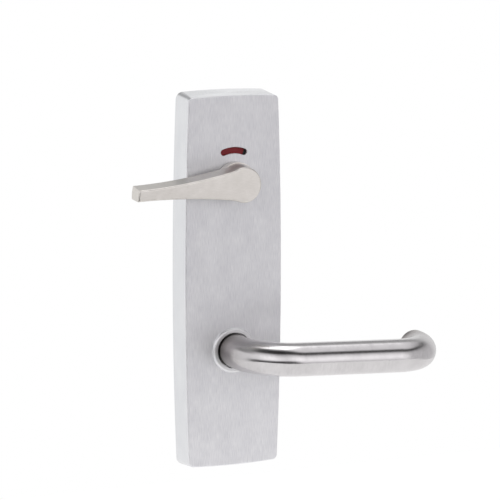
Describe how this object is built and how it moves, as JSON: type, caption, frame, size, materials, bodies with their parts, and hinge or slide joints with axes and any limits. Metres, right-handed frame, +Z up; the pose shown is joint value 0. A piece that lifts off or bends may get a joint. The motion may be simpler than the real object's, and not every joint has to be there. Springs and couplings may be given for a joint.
{
  "type": "privacy lever handle",
  "caption": "Door handle on a long bowed plate: a sprung round-tube return lever, and above it an extended privacy turn with a red and green indicator slot.",
  "frame": {"origin": "centre of the plate's back, on the door's face", "axes": "+X to the right seen from the room, along the lever; +Y into the door; +Z up, along the plate"},
  "size_m": [0.2064, 0.1137, 0.2424],
  "materials": {
    "plate_satin_steel": "satin, brushed lengthwise",
    "lever_satin_steel": "satin, brushed around the tube",
    "turn_satin_steel": "satin chrome look",
    "polished_ring": "polished",
    "plated_steel": "clear zinc plated",
    "black_steel": "blackened",
    "spring_steel": "bright drawn",
    "acetal": "moulded",
    "disc_dark": "dark satin paint",
    "engaged_red": "dark red film",
    "vacant_green": "dark green film"
  },
  "bodies": {
    "plate": {"cover_plate": "plate_satin_steel", "backing_plate": "plated_steel", "chassis_screws": "plated_steel", "fixing_posts": "plated_steel", "lever_bush": "polished_ring", "turn_bush": "acetal", "lever_return_spring": "spring_steel", "detent_leaves": "spring_steel"},
    "lever": {"lever_handle": "lever_satin_steel", "lever_end_plug": "lever_satin_steel", "lever_hub": "plated_steel", "lever_grub_screw": "black_steel", "lever_spindle": "plated_steel", "lever_washer": "acetal", "lever_cam": "plated_steel", "lever_retaining_ring": "black_steel"},
    "turn": {"turn_handle": "turn_satin_steel", "turn_grub_screw": "black_steel", "turn_shaft": "plated_steel", "turn_tailpiece": "plated_steel", "indicator_disc": "disc_dark", "engaged_label": "engaged_red", "vacant_label": "vacant_green", "turn_retaining_ring": "black_steel", "detent_cam": "acetal"}
  },
  "joints": [
    {"name": "lever_swing", "type": "hinge", "parent": "plate", "child": "lever", "pos_m": [0, 0, -0.044], "axis": [0, 1, 0], "range_deg": [-45, 45], "stiffness_Nm_per_rad": 2.4, "springref_deg": -1.95, "deforming": ["lever_return_spring"]},
    {"name": "privacy_turn", "type": "hinge", "parent": "plate", "child": "turn", "pos_m": [0, 0, 0.065], "axis": [0, -1, 0], "range_deg": [0, 90], "deforming": ["detent_leaves"]}
  ]
}
